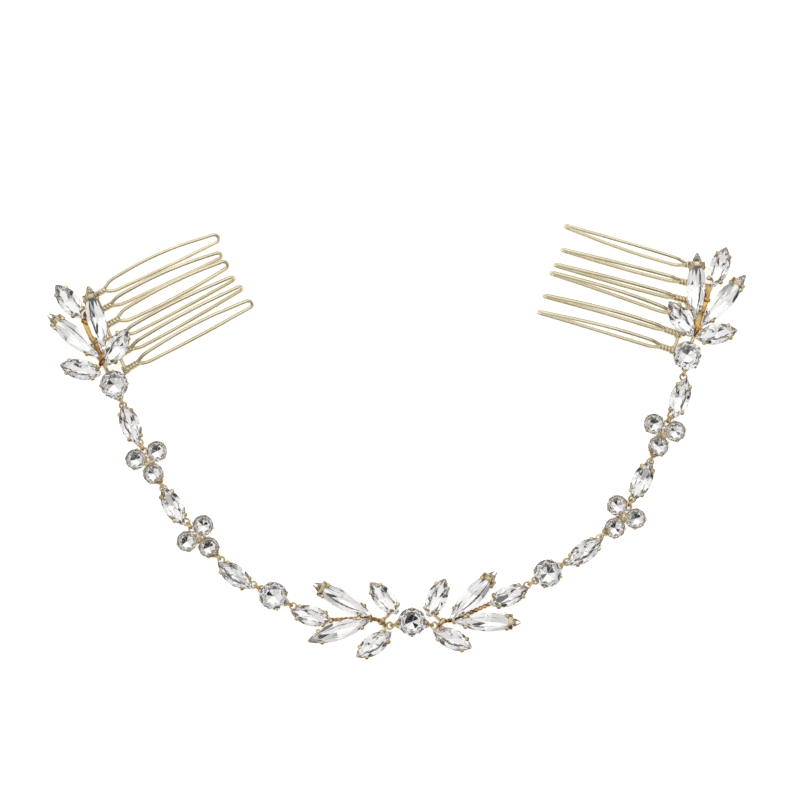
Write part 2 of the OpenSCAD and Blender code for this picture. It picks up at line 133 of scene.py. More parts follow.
# %% [markdown]
# ## From the bench to the vine
# A shape that repeats is modelled once, at the bench's middle, and copied into place with its own mesh. The
# copies that make up a piece are joined and shrunk to metres, and the piece stands for its node.

# %% Copies and finished pieces


def copy_of(template, matrix):
    """A copy of a template with its own mesh, put in place by a matrix."""
    o = template.copy()
    o.data = template.data.copy()
    bpy.context.scene.collection.objects.link(o)
    o.matrix_world = matrix
    return o


def joined(name, parts):
    """Joins parts in millimetres into one piece in metres, with its place in its mesh."""
    only(*parts)
    bpy.ops.object.transform_apply(location=True, rotation=True, scale=True)
    if len(parts) > 1:
        bpy.ops.object.join()
    o = bpy.context.object
    o.name = o.data.name = name
    o.scale = (MM, MM, MM)
    bpy.ops.object.transform_apply(location=False, rotation=False, scale=True)
    return o


def ship(name, parts, node):
    """Joins parts into one piece, which stands for a CAD node and moves with it."""
    obj = joined(name, parts)
    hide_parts(node)
    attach(obj, "root")
    print(name, len(obj.data.polygons), "faces")


print("nodes to dress:", len(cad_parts))

# %% [markdown]
# ## The kinds of stones
# The vine has pointed ovals, long slim ones, large rounds, and the small rounds of the trefoils. Each kind
# is described by a few sizes, and a stone's facets and setting follow from them.

# %% Kinds of stones
# Length, width, height of the lower girdle edge, thickness of the girdle, height of the crown
Gem = namedtuple("Gem", "length width girdle girdle_t crown")
GEMS = {
    "navette": Gem(9.6, 4.5, 2.1, 0.22, 0.9),
    "long": Gem(15.4, 4.1, 2.0, 0.22, 0.8),
    "large": Gem(6.2, 6.2, 2.35, 0.25, 1.05),
    "small": Gem(4.55, 4.55, 1.75, 0.2, 0.8),
}
ROUND_KINDS = ("large", "small")
# How far a stone overhangs its cup, and how low its point is
CUP_INSET = {"navette": 0.35, "long": 0.35, "large": 0.35, "small": 0.48}
CULET_Z = 0.4
for kind, gem in GEMS.items():
    print(kind, gem.length, "x", gem.width, "mm, top at", round(gem.girdle + gem.girdle_t + gem.crown, 2))

# %% [markdown]
# ## Where each piece lies
# The same places as in the part's source, in millimetres, with the heading of a stone's long axis, and how
# far it is pitched and rolled, because loose settings never lie quite flat. All stones are held by four
# claws, and some long ones by a band near the outer tip as well. The foil stops there and leaves the tip
# clear, or it runs on to the tip.

# %% Sprigs
CLAWED, CLEAR_TIP, FOIL_TIP = 0, 1, 2
# Heights of the lowest cups in the sprigs that stand on the combs
LEFT_BASE, RIGHT_BASE = 2.05, 2.38


def on_base(kind, base, x, y, heading, pitch=0, roll=0, tip=CLAWED, turn=45):
    """A piece that stands with the low side of its cup at the height of the base. The turn is its claws'."""
    gem, inset = GEMS[kind], CUP_INSET[kind]
    rise = (gem.length / 2 - inset) * abs(sin(radians(pitch)))
    rise += (gem.width / 2 - inset) * abs(sin(radians(roll)))
    return dict(kind=kind, at=Vector((x, y, base + rise)), heading=heading, pitch=pitch, roll=roll,
                turn=turn, tip=tip)


def sprig(base, *rows):
    """The stones of a sprig: x, y, heading, pitch, roll and tip. Every second one is a long stone."""
    return [on_base("long" if i % 2 else "navette", base, *row) for i, row in enumerate(rows)]


left_sprig = sprig(
    0,
    (-6.3, 5.32, 131.9, 5, 2),
    (-15.49, 5.15, 151.7, 3, -3, CLEAR_TIP),
    (-22.32, 1.29, 166, 2, 3),
    (-16.1, -2.05, 199.3, 2, 4),
    (-8.59, -4.95, 215, 4, -3),
)
right_sprig = sprig(
    0,
    (5.59, 5.35, 65.6, 3, -3),
    (13.53, 6.1, 46, 3, 3, CLEAR_TIP),
    (21.55, 5.8, 23, 6, -2),
    (16.83, -0.13, -0.6, 2, -3, CLEAR_TIP),
    (9.12, -3.75, -23.9, 5, 3),
)
left_comb_sprig = sprig(
    LEFT_BASE,
    (-64.45, 60.74, 60, 10, -3),
    (-69.29, 66.99, 103.7, 3, -4, CLEAR_TIP),
    (-75.53, 70.62, 128.9, 8, 3),
    (-74.67, 62.99, 139.4, 4, 4, CLEAR_TIP),
    (-72.94, 55.73, 167.6, 6, -3),
)
right_comb_sprig = sprig(
    RIGHT_BASE,
    (58.78, 66.73, 123.9, 7, 3),
    (62.24, 73.92, 88.2, 2, 4, FOIL_TIP),
    (67.66, 78.29, 70.9, 10, -3),
    (68.64, 70.82, 49.5, 6, -3, FOIL_TIP),
    (66.98, 63.47, 10.5, 5, 3),
)
print("stones in the four sprigs:", 4 * len(left_sprig))

# %% [markdown]
# From each centre sprig a string runs up to its comb: a round, three pointed ovals with the two trefoils
# between them, and the round that is part of the comb's sprig. The last pieces climb to the combs' height.

# %% Strings
RIGHT_ROUND_Z = 2.65
centre_round = on_base("large", 0, 0, 0, 0, turn=0)
left_comb_round = on_base("large", 0.75, -65.55, 52.34, 112, 3, turn=73)
right_comb_round = on_base("large", 0, 60.56, 59.06, 80.5, 12)
right_comb_round["at"].z = RIGHT_ROUND_Z
left_string = [
    left_sprig[2],
    on_base("large", 0, -30.56, 5.74, 151, 2),
    on_base("navette", 0, -38.86, 10.4, 143.4, 1, -3),
    on_base("small", 0, -46.75, 18.45, 135),
    on_base("navette", 0, -52.64, 25.39, 119.6, -1, 3),
    on_base("small", 0, -57.98, 35.31, 111, turn=52),
    on_base("navette", 0, -61.93, 43.53, 111.1, 3, -2),
    left_comb_round,
]
right_string = [
    right_sprig[2],
    on_base("large", 0, 29.77, 10.61, 31, -2),
    on_base("navette", 0, 37.9, 15.57, 36.9, 1, 3),
    on_base("small", 0, 46.37, 23, 54, turn=32),
    on_base("navette", 0, 50.66, 31.05, 65.1, -1, -3),
    on_base("small", 0, 55.16, 41.38, 71, turn=40),
    on_base("navette", 0, 58.98, 49.67, 73.5, 10, 2),
    right_comb_round,
]
SIDES = {
    "left": dict(sprig=left_sprig, string=left_string, comb_sprig=left_comb_sprig),
    "right": dict(sprig=right_sprig, string=right_string, comb_sprig=right_comb_sprig),
}
# The places of the two trefoils and of the three pointed ovals in a string
TREFOILS = {1: 3, 2: 5}
OVALS = {1: 2, 2: 4, 3: 6}
print("pieces in each string:", len(left_string), len(right_string))

# %% [markdown]
# A piece's place is a matrix: it rolls round its long axis, pitches, is turned to its heading and moved. A
# trefoil's three stones share the place of their plate.

# %% Places
TREFOIL_R = 2.89


def turned(angle, axis="Z"):
    """A turn round an axis, in degrees."""
    return Matrix.Rotation(radians(angle), 4, axis)


def place(e):
    """The matrix that puts something modelled at the bench's middle into a piece's place."""
    level = Matrix.Translation(e["at"]) @ turned(e["heading"])
    return level @ turned(-e["pitch"], "Y") @ turned(e["roll"], "X")


def trefoil(e):
    """The three round stones of a trefoil: one towards the middle of the vine and two towards the comb."""
    stones = []
    for a in (180, 60, -60):
        offset = Vector((cos(radians(a)), sin(radians(a)), 0)) * TREFOIL_R
        turn = e["turn"] if a == 180 else 0
        stones.append(dict(e, at=place(e) @ offset, heading=e["heading"] + a, turn=turn))
    return stones


stones_by_node = {
    "stone_centre": centre_round,
    "stone_left_round": left_string[1],
    "stone_right_round": right_string[1],
    "stone_left_comb_round": left_comb_round,
    "stone_right_comb_round": right_comb_round,
}
for side, s in SIDES.items():
    for i in range(5):
        stones_by_node[f"stone_{side}_sprig_{i + 1}"] = s["sprig"][i]
        stones_by_node[f"stone_{side}_comb_{i + 1}"] = s["comb_sprig"][i]
    for i, k in OVALS.items():
        stones_by_node[f"stone_{side}_string_{i}"] = s["string"][k]
print("stones with a node of their own:", len(stones_by_node))

# %% [markdown]
# ## Crystal and foil
# A clear rhinestone is leaded glass with a mirror foil on its lower half. Light goes in through the crown,
# bounces between the foiled facets and comes out again, so a stone mixes white and dark patches of the room.
# The crown is a real refracting glass here, and the facets below it are a mirror. The girdle between them is
# dull from grinding, and its dark grey colour is painted shade, which draws a thin dark line round a stone.

# %% Stone materials


def new_material(name):
    m = bpy.data.materials.new(name)
    m.use_nodes = True
    return m, m.node_tree.nodes["Principled BSDF"]


def set_inputs(node, **values):
    """Sets inputs of a node. An underscore stands for the space in a name."""
    for name, value in values.items():
        node.inputs[name.replace("_", " ")].default_value = value


def noise(shader, scale, detail=3.0, rough=0.5):
    """A noise pattern on the object's own coordinates, in lumps per metre."""
    nodes, links = shader.id_data.nodes, shader.id_data.links
    co = nodes.new("ShaderNodeTexCoord")
    tex = nodes.new("ShaderNodeTexNoise")
    set_inputs(tex, Scale=scale, Detail=detail, Roughness=rough)
    links.new(co.outputs["Object"], tex.inputs["Vector"])
    return tex.outputs["Fac"]


def tint(shader, pattern, stops):
    """Colours a surface by a pattern's strength. stops is a list of (place, colour)."""
    nodes, links = shader.id_data.nodes, shader.id_data.links
    r = nodes.new("ShaderNodeValToRGB")
    while len(r.color_ramp.elements) < len(stops):
        r.color_ramp.elements.new(0.5)
    for e, (at, colour) in zip(r.color_ramp.elements, stops):
        e.position = at
        e.color = (*colour, 1)
    links.new(pattern, r.inputs["Fac"])
    links.new(r.outputs["Color"], shader.inputs["Base Color"])


crystal, shader = new_material("cut_crystal")
set_inputs(shader, Roughness=0.0, IOR=1.56, Transmission_Weight=1.0)
tint(shader, noise(shader, 90, 1), [(0.3, (0.985, 0.985, 0.98)), (0.7, (1.0, 0.995, 0.99))])

foil, shader = new_material("mirror_foil")
set_inputs(shader, Metallic=1.0, Roughness=0.03)
# The faint violet in the foil's colour is painted fire: the coloured glints of light split by the glass.
tint(shader, noise(shader, 260, 2),
     [(0.35, (0.93, 0.93, 0.93)), (0.55, (0.98, 0.975, 0.965)), (0.7, (0.97, 0.94, 0.95))])

# Dull like ground glass, but its dark grey is painted shade: a thin dark outline round each stone.
ground_with_shade, shader = new_material("ground_girdle_painted_shade")
set_inputs(shader, Roughness=0.7)
tint(shader, noise(shader, 900, 2), [(0.35, (0.16, 0.15, 0.14)), (0.65, (0.34, 0.33, 0.31))])
# The order of the three in a stone's slots
CLEAR, FOILED, GROUND_SHADE = 0, 1, 2
print("materials:", crystal.name, foil.name, ground_with_shade.name)

# %% [markdown]
# ## Gold
# The settings and combs are brass with a thin pale gold plating. Bending and soldering leave it faintly
# uneven, so its colour, gloss and surface vary a little, and the darker patches are partly painted shade. The
# stems under the stones are painted warmer and darker: painted shade and a painted reflection of the gold
# round them. The combs are paler.

# %% Gold materials
BUMP_HEIGHT = 0.00003


def gold_material(name, light, deep_and_shade, rough, lumps):
    """A plated gold: light colour, the deeper colour of thin plating, which on the darker golds is partly
    painted shade, roughness, and lumps per metre.
    """
    m, shader = new_material(name)
    nodes, links = shader.id_data.nodes, shader.id_data.links
    set_inputs(shader, Metallic=1.0, Specular_Tint=(0.3, 0.22, 0.12, 1))
    # Random patches of the deep colour: uneven plating, and on the darker golds painted shade as well.
    wear_and_shade = noise(shader, lumps, 4, 0.6)
    tint(shader, wear_and_shade, [(0.35, deep_and_shade), (0.62, light)])
    gloss = nodes.new("ShaderNodeMapRange")
    set_inputs(gloss, To_Min=rough * 0.7, To_Max=rough * 1.5)
    links.new(wear_and_shade, gloss.inputs["Value"])
    links.new(gloss.outputs["Result"], shader.inputs["Roughness"])
    bump = nodes.new("ShaderNodeBump")
    set_inputs(bump, Strength=0.05, Distance=BUMP_HEIGHT)
    links.new(noise(shader, lumps * 4), bump.inputs["Height"])
    links.new(bump.outputs["Normal"], shader.inputs["Normal"])
    return m


# The settings' deep colour is partly uneven plating and partly painted shade, darker than plating would be,
# scattered at random.
setting_gold = gold_material("setting_gold", (0.88, 0.75, 0.52), (0.4, 0.29, 0.13), 0.14, 700)
# The strap's warm orange is a painted reflection of the gold round it, and its nearly black deep colour is
# painted shade.
strap_gold_painted_reflection = gold_material("strap_gold_painted_reflection", (0.95, 0.62, 0.22), (0.16, 0.04, 0.012), 0.2, 420)
# The stems' warm dark colour is painted shade under the stones and a painted reflection of the gold round
# them.
stem_gold_painted_shade = gold_material("stem_gold_painted_shade", (0.74, 0.46, 0.17), (0.07, 0.025, 0.01), 0.22, 560)
comb_gold = gold_material("comb_gold", (0.84, 0.78, 0.61), (0.74, 0.67, 0.48), 0.18, 120)


def in_gold(obj, angle=35):
    """Gives a part of a setting its metal and smooths it."""
    obj.data.materials.append(setting_gold)
    return tidy(obj, angle)


print("materials:", setting_gold.name, strap_gold_painted_reflection.name, stem_gold_painted_shade.name, comb_gold.name)

# %% [markdown]
# ## Cutting the stones
# A cutter grinds one flat facet after another on a rough block. Bisect does the same: each cut takes off what
# lies outside a plane and closes the solid, so every facet is truly flat. A facet is given by the direction
# it faces, its slope, and how far out it meets the outline: a circle, or two arcs on a pointed stone.

# %% Outlines and cuts


def arc_of(kind):
    """Radius of the outline's arcs, and how far their centres lie to each side of the long axis."""
    gem = GEMS[kind]
    r = (gem.length ** 2 + gem.width ** 2) / (4 * gem.width)
    return r, r - gem.width / 2


def reach_of(kind, direction, drawn_in=0.0):
    """How far the outline, drawn in by a distance, reaches in a direction of the plan."""
    r, c = arc_of(kind)
    if kind in ROUND_KINDS:
        return r - drawn_in
    n = Vector((cos(radians(direction)), sin(radians(direction))))
    if abs(n.y) >= c / r:
        return r - drawn_in - c * abs(n.y)
    return sqrt((r - drawn_in) ** 2 - c ** 2) * abs(n.x)


def cut(point, normal):
    """Cuts the solid in hand along a plane, throws the outer side away and closes the cut."""
    bpy.ops.mesh.select_all(action="SELECT")
    bpy.ops.mesh.bisect(plane_co=point, plane_no=normal, use_fill=True, clear_outer=True, threshold=1e-5)


def facets(kind, directions, slope, z, out=0.0):
    """Facets that face these directions of the plan and meet the outline, moved out by a distance, at z.
    Those above the girdle's lower edge look up, the others down."""
    s = radians(slope)
    up = cos(s) if z > GEMS[kind].girdle else -cos(s)
    for d in directions:
        x, y = cos(radians(d)), sin(radians(d))
        far = reach_of(kind, d) + out
        cut((far * x, far * y, z), (sin(s) * x, sin(s) * y, up))


def rough_block(kind, name, drawn_in, z0, z1, steps):
    """A block cut to the outline of a stone, as a prism between two heights."""
    gem = GEMS[kind]
    clear_bench()
    bpy.ops.mesh.primitive_cube_add(size=1, location=(0, 0, (z0 + z1) / 2),
                                    scale=(gem.length + 1, gem.width + 1, z1 - z0))
    o = begin(name)
    r, c = arc_of(kind)
    for i in range(steps):
        if kind in ROUND_KINDS:
            directions = [360 * (i + 0.5) / steps]
        else:
            d = degrees(acos(c / (r - drawn_in))) * (2 * (i + 0.5) / steps - 1)
            directions = [90 + d, 270 + d]
        for d in directions:
            a = radians(d)
            far = reach_of(kind, d, drawn_in)
            cut((far * cos(a), far * sin(a), z0), (cos(a), sin(a), 0))
    return o


print("half lengths:", {k: round(reach_of(k, 0), 2) for k in GEMS}, "mm")

# %% [markdown]
# The facets of a round stone: eight kites, sixteen small facets above the girdle and eight stars round the
# table. Below the girdle there are eight mains, eight facets between them, and eight flat ones round the
# point. The slopes are those of a common cut, in degrees from the plane of the table.

# %% Round cut


def cut_round(kind):
    kite, upper, star, main, lower, point = 37, 41.2, 22, 46, 50, 13
    gem = GEMS[kind]
    top = gem.girdle + gem.girdle_t
    mains = [45 * i for i in range(8)]
    for d in mains:
        facets(kind, [d], kite, top)
        facets(kind, [d], main, gem.girdle)
        facets(kind, [d + 22.5], lower, gem.girdle)
    facets(kind, mains, point, CULET_Z, -gem.width / 2)
    facets(kind, [d + s for d in mains for s in (11.25, 33.75)], upper, top)
    table_r = gem.width / 2 - gem.crown / tan(radians(kite))
    star_r = table_r * cos(radians(22.5))
    facets(kind, [d + 22.5 for d in mains], star, top + gem.crown, star_r - gem.width / 2)


print("a round cut has", 8 * 7 + 1, "facets")

# %% [markdown]
# A pointed stone has the same families of facets, but they crowd along its two sides, and those below meet
# in a keel instead of a point. Their directions are shares of the turn from the stone's middle to its tip.

# %% Pointed cut
END_SLOPE = {"navette": 20, "long": 15}
ENDS = (0, 180)
# How far the stars are drawn in, as shares of half the width and half the length
TABLE_SIDE, TABLE_END = 0.46, 0.37
KEEL_OUT = 0.06


def side_directions(kind, *shares):
    """Directions to both ends on both sides of a stone, as shares of the widest turn of its arcs."""
    r, c = arc_of(kind)
    widest = round(degrees(acos(c / r)), 1)
    both_ways = sorted({turn * s for s in shares for turn in (-widest, widest)})
    return [side + turn for side in (90, 270) for turn in both_ways]


def cut_pointed(kind):
    kite, upper, star, side, middle, shoulder = 40, 46, 24, 38.5, 50, 42
    gem = GEMS[kind]
    top = gem.girdle + gem.girdle_t
    table = top + gem.crown
    facets(kind, side_directions(kind, 0.28, 0.82), kite, top)
    facets(kind, side_directions(kind, 0.14, 0.42, 0.68, 0.97), upper, top)
    facets(kind, side_directions(kind, 0, 0.55), star, table, -TABLE_SIDE * gem.width / 2)
    facets(kind, ENDS, star, table, -TABLE_END * gem.length / 2)
    facets(kind, side_directions(kind, 0.25, 0.8), side, gem.girdle, KEEL_OUT)
    facets(kind, side_directions(kind, 0, 0.55), middle, gem.girdle)
    facets(kind, side_directions(kind, 0.92), shoulder, gem.girdle)
    facets(kind, ENDS, END_SLOPE[kind], gem.girdle)


print("widest turns:", {k: round(side_directions(k, 1)[1] - 90, 1) for k in END_SLOPE}, "degrees")

# %% [markdown]
# The cuts are made on one template of each kind. Facets that look up are clear, those that look down are
# foiled, and the girdle is ground and painted dark grey as shade, but near the tips the foil laps over it. A
# long stone is divided where its foil may stop. A fine bevel gives each edge the thin glint of cut glass.

# %% Cut one stone of each kind
FOIL_END = 5.35
# The share of a long stone's length, each way from its middle, where the girdle is painted dark grey as shade
GROUND_SHADE_SHARE = 0.31
UPRIGHT = 0.05


def coat(obj, kind):
    """Gives each facet its material by the way it looks."""
    for material in (crystal, foil, ground_with_shade):
        obj.data.materials.append(material)
    for p in obj.data.polygons:
        if abs(p.normal.z) > UPRIGHT:
            p.material_index = CLEAR if p.normal.z > 0 else FOILED
        else:
            # Upright faces get the dull girdle painted dark grey as shade, except near a long stone's tips,
            # where the foil laps over.
            is_ground_shade = kind in ROUND_KINDS or abs(p.center.x) < GROUND_SHADE_SHARE * GEMS[kind].length
            p.material_index = GROUND_SHADE if is_ground_shade else FOILED


def cut_stone(kind):
    gem = GEMS[kind]
    is_round = kind in ROUND_KINDS
    table = gem.girdle + gem.girdle_t + gem.crown
    o = rough_block(kind, "stone_" + kind, 0.0, CULET_Z, table, 48 if is_round else 14)
    if is_round:
        cut_round(kind)
    else:
        cut_pointed(kind)
    close_mesh()
    open_mesh(o)
    bpy.ops.mesh.remove_doubles(threshold=0.003)
    bpy.ops.mesh.dissolve_limited(angle_limit=radians(0.5))
    if kind == "long":
        bpy.ops.mesh.select_all(action="SELECT")
        bpy.ops.mesh.bisect(plane_co=(FOIL_END, 0, 0), plane_no=(1, 0, 0), threshold=1e-5)
        bpy.ops.mesh.select_all(action="SELECT")
    bpy.ops.mesh.normals_make_consistent(inside=False)
    close_mesh()
    bpy.ops.object.shade_flat()
    coat(o, kind)
    soften_edges(o, 0.03, 1, 4)
    return o


stone_templates = {k: cut_stone(k) for k in GEMS}
for k, o in stone_templates.items():
    print("cut", k, len(o.data.polygons), "faces, size", [round(v, 2) for v in o.dimensions])

# %% [markdown]
# ## Setting out the stones
# Each stone is a copy of its kind's template. The three stones of a trefoil share a node, so they are joined.
# The templates are thrown away at the end.

# %% Stones in their places


def placed_stone(e):
    """A stone in its place. Where the foil stops at the band, the free tip is clear glass."""
    o = copy_of(stone_templates[e["kind"]], place(e))
    if e["tip"] == CLEAR_TIP:
        for p in o.data.polygons:
            if p.center.x > FOIL_END and p.material_index == FOILED:
                # Upright faces of a free tip get the girdle's dark grey of painted shade; its other foiled
                # facets turn clear.
                p.material_index = GROUND_SHADE if abs(p.normal.z) < UPRIGHT else CLEAR
    return o


for node, e in stones_by_node.items():
    ship(node.replace("stone", "crystal"), [placed_stone(e)], node)
for side, s in SIDES.items():
    for i, k in TREFOILS.items():
        parts = [placed_stone(g) for g in trefoil(s["string"][k])]
        ship(f"crystal_{side}_trefoil_{i}", parts, f"trefoil_stones_{side}_{i}")
for o in stone_templates.values():
    bpy.data.objects.remove(o)

# %% [markdown]
# ## Cups
# Each stone sits in a cup of thin brass. Here it is a block cut to the stone's outline, drawn in so that the
# stone hides it, then inset and sunk almost to its floor. A long stone's cup stops short of the outer tip.

# %% Cups
CUP_RIM = {"navette": 1.32, "long": 1.24, "large": 1.46, "small": 1.05}
CUP_WALL = 0.25
CUP_FLOOR = 0.06
LONG_CUP_END = 5.0


def make_cup(kind):
    rim = CUP_RIM[kind]
    steps = 32 if kind in ROUND_KINDS else 10
    o = rough_block(kind, "cup_" + kind, CUP_INSET[kind], 0.0, rim, steps)
    if kind == "long":
        cut((LONG_CUP_END, 0, 0), (1, 0, 0))
    select_faces(o, faces_up)
    bpy.ops.mesh.inset(thickness=CUP_WALL, depth=0)
    bpy.ops.mesh.extrude_region_move(TRANSFORM_OT_translate={"value": (0, 0, CUP_FLOOR - rim)})
    close_mesh()
    soften_edges(o, 0.05, 2, 40)
    return in_gold(o)


cup_templates = {k: make_cup(k) for k in GEMS}
print("cups:", {k: len(o.data.polygons) for k, o in cup_templates.items()}, "faces")

# %% [markdown]
# ## Claws
# A claw rises from the cup's side and ends in a small bead, pressed down on the edge of the stone. It could
# be a curve, but a claw swells and thins as it goes, so it is drawn out of a small cube, one extrusion for
# each bend, and Subdivision rounds it like cast metal.

# %% Claws
# The bends of a claw: distance outside the stone's widest line, height above it, width and thickness.
# The first is its foot, at a height of its own. Above the stone, all grow with the size of the claw's bead.
CLAW_FOOT_Z, CLAW_LOWEST_Z = 0.5, 0.62
CLAW_BENDS = [
    (-0.42, None, 0.74, 0.30),
    (-0.30, -1.0, 0.70, 0.30),
    (0.02, -0.45, 0.60, 0.30),
    (0.16, -0.1, 0.56, 0.30),
    (0.16, 0.2, 0.60, 0.36),
    (0.03, 0.45, 0.98, 0.8),
    (-0.1, 0.68, 1.06, 0.84),
    (-0.2, 0.87, 0.62, 0.48),
]
CLAW_SIZE = {"navette": 1.06, "long": 1.06, "large": 0.66, "small": 0.56}


def claw_stations(kind):
    """How far out, how high, how wide and how thick a kind's claw is at each bend."""
    top = GEMS[kind].girdle + GEMS[kind].girdle_t
    size = CLAW_SIZE[kind]
    stations = []
    for u, h, w, t in CLAW_BENDS:
        if h is None:
            z = CLAW_FOOT_Z
        elif h < 0:
            z = max(CLAW_LOWEST_Z, top + h)
        else:
            u, z = u * size, top + h * size
        stations.append((u, z, w * size, t * size))
    return stations


def make_claw(kind):
    """A claw at the bench's middle. It stands outside the stone, which lies towards -Y."""
    stations = claw_stations(kind)
    u, z, w, t = stations[0]
    clear_bench()
    bpy.ops.mesh.primitive_cube_add(size=1, location=(0, u, z), scale=(w, t, 0.06))
    o = begin("claw_" + kind)
    select_faces(o, faces_up)
    for (u0, z0, w0, t0), (u1, z1, w1, t1) in zip(stations, stations[1:]):
        bpy.ops.mesh.extrude_region_move(TRANSFORM_OT_translate={"value": (0, u1 - u0, z1 - z0)})
        bpy.ops.transform.resize(value=(w1 / w0, t1 / t0, 1), center_override=(0, u1, z1))
    close_mesh()
    finish_modifier(o, "SUBSURF", levels=2, render_levels=2)
    return in_gold(o, 60)


claw_templates = {k: make_claw(k) for k in GEMS}
print("claws:", {k: [round(v, 2) for v in o.dimensions] for k, o in claw_templates.items()}, "mm")

# %% [markdown]
# ## Bands
# A strip of sheet is bent over the outer end of some long stones, and the tip stands free beyond it. A block
# is cut to the stone's cross-section, its two ends are opened, and Solidify gives what is left its thickness.

# %% Bands
BAND_X, BAND_L, BAND_WALL = 4.45, 0.95, 0.26
BAND_CORNERS = [(-1.74, 0.2), (1.74, 0.2), (1.78, 2.35), (1.0, 3.2), (0.4, 3.42), (-0.4, 3.42), (-1.0, 3.2),
                (-1.78, 2.35)]


def make_band():
    clear_bench()
    bpy.ops.mesh.primitive_cube_add(size=1, location=(BAND_X + BAND_L / 2, 0, 2), scale=(BAND_L, 5, 5))
    o = begin("band")
    for (y0, z0), (y1, z1) in zip(BAND_CORNERS, BAND_CORNERS[1:] + BAND_CORNERS[:1]):
        cut((BAND_X, y0, z0), (0, z1 - z0, y0 - y1))
    select_faces(o, faces_endways)
    bpy.ops.mesh.delete(type="ONLY_FACE")
    close_mesh()
    finish_modifier(o, "SOLIDIFY", thickness=BAND_WALL, offset=-1, use_even_offset=True)
    soften_edges(o, 0.1, 3, 30)
    return in_gold(o)


band_template = make_band()
print("band:", len(band_template.data.polygons), "faces")

# %% [markdown]
# ## A stone's whole setting
# The cup, claws and band share their stone's place. A round stone has four claws at even turns. A pointed one
# has two on each side, square to its outline, and the outer pair stands close to the band if there is one.

# %% Settings
# How far the inner and the outer claws stand from the middle of a pointed stone
CLAW_X = {"navette": (3.0, 3.0), "long": (5.0, 4.4)}
BAND_CLAW_X = 4.15


def claw_at(kind, x, side):
    """Puts a claw beside the outline of a pointed stone, at x along it."""
    r, c = arc_of(kind)
    turn = Matrix.Rotation(-asin((x if side > 0 else -x) / r), 4, "Z")
    there = Matrix.Translation((0, -c, 0)) @ turn @ Matrix.Translation((0, r, 0))
    return there if side > 0 else Matrix.Rotation(pi, 4, "Z") @ there


def claw_spots(e):
    """Where the four claws of a piece stand, seen from its own middle."""
    kind = e["kind"]
    if kind in ROUND_KINDS:
        out = Matrix.Translation((0, GEMS[kind].width / 2, 0))
        return [turned(e["turn"] + 90 * i) @ out for i in range(4)]
    inner, outer = CLAW_X[kind]
    if e["tip"] != CLAWED:
        outer = BAND_CLAW_X
    return [claw_at(kind, x, side) for side in (1, -1) for x in (-inner, outer)]


def setting(e):
    """Copies of the cup, claws and band that hold one stone, in their place."""
    kind, m = e["kind"], place(e)
    parts = [copy_of(cup_templates[kind], m)]
    parts += [copy_of(claw_templates[kind], m @ spot) for spot in claw_spots(e)]
    if e["tip"] != CLAWED:
        parts.append(copy_of(band_template, m))
    return parts


print("parts of a setting with a band:", len(claw_spots(left_sprig[1])) + 2)

# %% [markdown]
# ## Loops and rings
# The string is a chain: each setting has a small loop soldered on at both ends, and a ring joins two loops. A
# loop is one turn of wire, a small circle spun round an axis. A ring stays open by a hair's breadth, like one
# bent shut with pliers. A short bar joins a loop to its cup, and a drop of solder hides where wires meet.

# %% Loops, rings, bars and drops
LOOP_R, LOOP_WIRE = 0.72, 0.22
RING_R, RING_WIRE, RING_TURN = 0.78, 0.21, 354
BAR_R = 0.3
DROP_SIZE = 1.25


def spun_wire(name, mean, wire_r, turn):
    """A circle of wire spun round the Z axis. Less than a full turn leaves an open seam with flat ends."""
    clear_bench()
    bpy.ops.mesh.primitive_circle_add(vertices=12, radius=wire_r, location=(mean, 0, 0),
                                      rotation=(pi / 2, 0, 0),
                                      fill_type="NGON" if turn < 360 else "NOTHING")
    o = begin(name)
    bpy.ops.mesh.spin(steps=32, angle=radians(turn), center=(0, 0, 0), axis=(0, 0, 1), dupli=False)
    close_mesh()
    return in_gold(o, 50)


def make_bar():
    """A bar one millimetre long from the bench's middle along +X, with chamfered ends."""
    clear_bench()
    bpy.ops.mesh.primitive_cylinder_add(vertices=16, radius=BAR_R, depth=1, location=(0.5, 0, 0),
                                        rotation=(0, pi / 2, 0))
    o = begin("bar")
    select_faces(o, faces_endways)
    bpy.ops.mesh.inset(thickness=0.06, depth=0.04)
    close_mesh()
    return in_gold(o, 50)


def make_drop():
    """A drop of solder, drawn out of a small cube into a ridge."""
    clear_bench()
    bpy.ops.mesh.primitive_cube_add(size=DROP_SIZE, location=(0, 0, 0))
    o = begin("drop")
    select_faces(o, faces_endways)
    bpy.ops.mesh.extrude_region_move(TRANSFORM_OT_translate={"value": (0, 0, 0)})
    bpy.ops.transform.resize(value=(1.7, 0.5, 0.5))
    close_mesh()
    finish_modifier(o, "SUBSURF", levels=2, render_levels=2)
    return in_gold(o, 60)


drop_template = make_drop()
loop_template = spun_wire("loop", LOOP_R, LOOP_WIRE, 360)
ring_template = spun_wire("ring", RING_R, RING_WIRE, RING_TURN)
bar_template = make_bar()
print("loop", len(loop_template.data.polygons), "ring", len(ring_template.data.polygons), "faces")

# %% [markdown]
# A joint is the middle of a ring, with the direction of the string through it. The string runs straight
# between the two pieces that the ring joins, and what is left of the distance is shared by the two loops.

# %% Joints
LOOP_Z = 0.99
# From a ring's middle to a loop's, from a piece's middle to the joint's near side, and each ring's lean
REACH = 1.02
REACH_IN = (4.45, 2.95, 4.45, 4.7, 4.45, 4.7, 4.45, 2.95)
REACH_OUT = (4.45, 2.95, 4.45, 2.55, 4.45, 2.55, 4.45, 2.95)
LEAN = (20, -15, 25, -20, 15, 25, 20)
CENTRE_LEAN = -10
CENTRE_JOINT_R = 3.97
# From a piece's middle to its cup's wall, where the bar of a loop ends
WALL_AT = {"navette": 4.1, "large": 2.6}
NO_BAR = inf
SHORTEST_BAR = 0.05


def loop_point(e):
    return place(e) @ Vector((0, 0, LOOP_Z))


